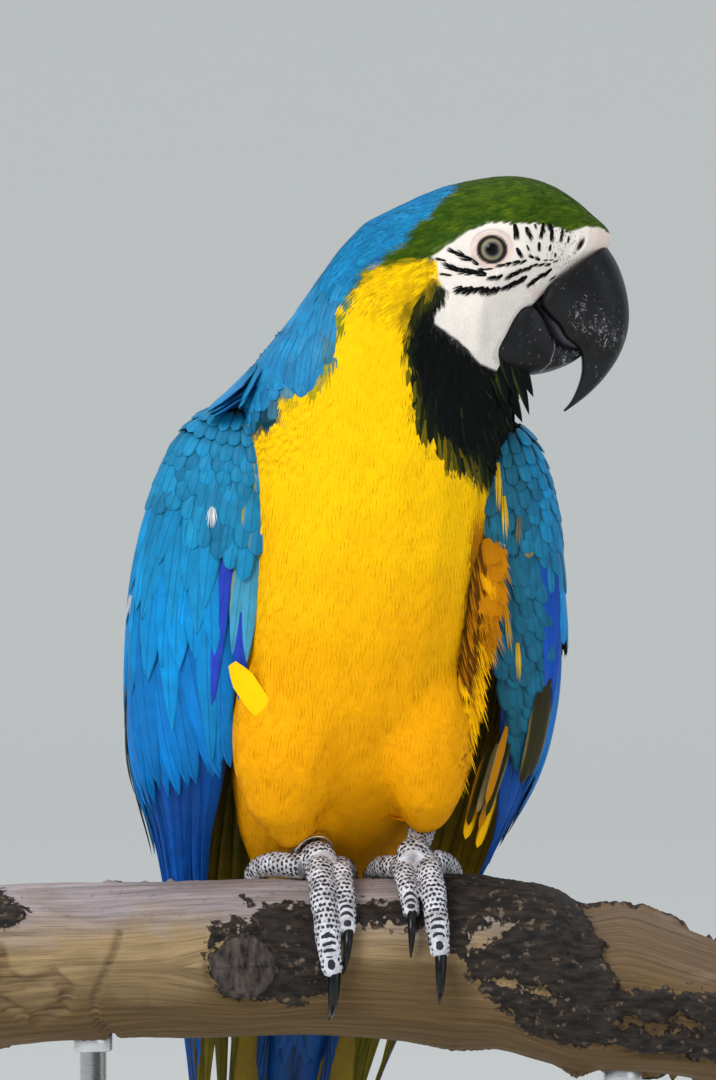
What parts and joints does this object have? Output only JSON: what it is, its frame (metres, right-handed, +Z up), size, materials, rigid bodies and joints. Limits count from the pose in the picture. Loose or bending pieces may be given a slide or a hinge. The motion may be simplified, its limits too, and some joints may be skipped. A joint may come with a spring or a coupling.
{
  "type": "blue-and-yellow macaw on a perch",
  "caption": "Life-size macaw with folded wings and a long tail, its head turned to one side, gripping a cut length of branch on a plain display stand.",
  "frame": {"origin": "centre of the stand base's underside, on the floor", "axes": "+Z up, -Y the way the breast faces, +X the way the bill points"},
  "size_m": [0.384, 0.3, 0.803],
  "materials": {
    "plumage_green": "soft olive-green body feathers",
    "plumage_blue": "smooth bright-blue feathers with a faint sheen",
    "plumage_yellow": "soft golden-yellow body feathers",
    "plumage_black": "soft black throat feathers",
    "bare_face_skin": "bare white skin, finely wrinkled",
    "bill_horn": "satin black horn with pale worn scuffs",
    "tongue_skin": "moist dark grey",
    "eye_iris": "wet, glossy, pale iris with a black pupil",
    "scaled_skin": "whitish-grey scaled skin with dark scales",
    "claw_horn": "glossy black horn",
    "ring_metal": "worn satin steel",
    "driftwood": "bare weathered wood with patches of dark bark",
    "stand_steel": "satin steel",
    "stand_wood": "dark stained, satin"
  },
  "bodies": {
    "root": {"head": "plumage_green", "neck": "plumage_blue", "trunk": "plumage_yellow", "bill_upper": "bill_horn", "bill_lower": "bill_horn", "tongue": "tongue_skin", "eye_right": "eye_iris", "thigh_right": "plumage_yellow", "shank_right": "scaled_skin", "toe_right_front_outer": "scaled_skin", "claw_right_front_outer": "claw_horn", "toe_right_front_inner": "scaled_skin", "claw_right_front_inner": "claw_horn", "toe_right_hind_outer": "scaled_skin", "claw_right_hind_outer": "claw_horn", "toe_right_hind_inner": "scaled_skin", "claw_right_hind_inner": "claw_horn", "wing_right_coverts": "plumage_blue", "wing_right_secondaries": "plumage_blue", "wing_right_primaries": "plumage_blue", "eye_left": "eye_iris", "thigh_left": "plumage_yellow", "shank_left": "scaled_skin", "toe_left_front_outer": "scaled_skin", "claw_left_front_outer": "claw_horn", "toe_left_front_inner": "scaled_skin", "claw_left_front_inner": "claw_horn", "toe_left_hind_outer": "scaled_skin", "claw_left_hind_outer": "claw_horn", "toe_left_hind_inner": "scaled_skin", "claw_left_hind_inner": "claw_horn", "wing_left_coverts": "plumage_blue", "wing_left_secondaries": "plumage_blue", "wing_left_primaries": "plumage_blue", "tail_coverts": "plumage_blue", "tail_feather_right_1": "plumage_blue", "tail_feather_left_1": "plumage_blue", "tail_feather_right_2": "plumage_blue", "tail_feather_left_2": "plumage_blue", "tail_feather_right_3": "plumage_blue", "tail_feather_left_3": "plumage_blue", "tail_feather_right_4": "plumage_blue", "tail_feather_left_4": "plumage_blue", "tail_feather_right_5": "plumage_blue", "tail_feather_left_5": "plumage_blue", "tail_feather_right_6": "plumage_blue", "tail_feather_left_6": "plumage_blue", "leg_ring": "ring_metal", "perch_branch": "driftwood", "stand_rod_right": "stand_steel", "stand_rod_left": "stand_steel", "stand_base": "stand_wood"}
  },
  "joints": []
}
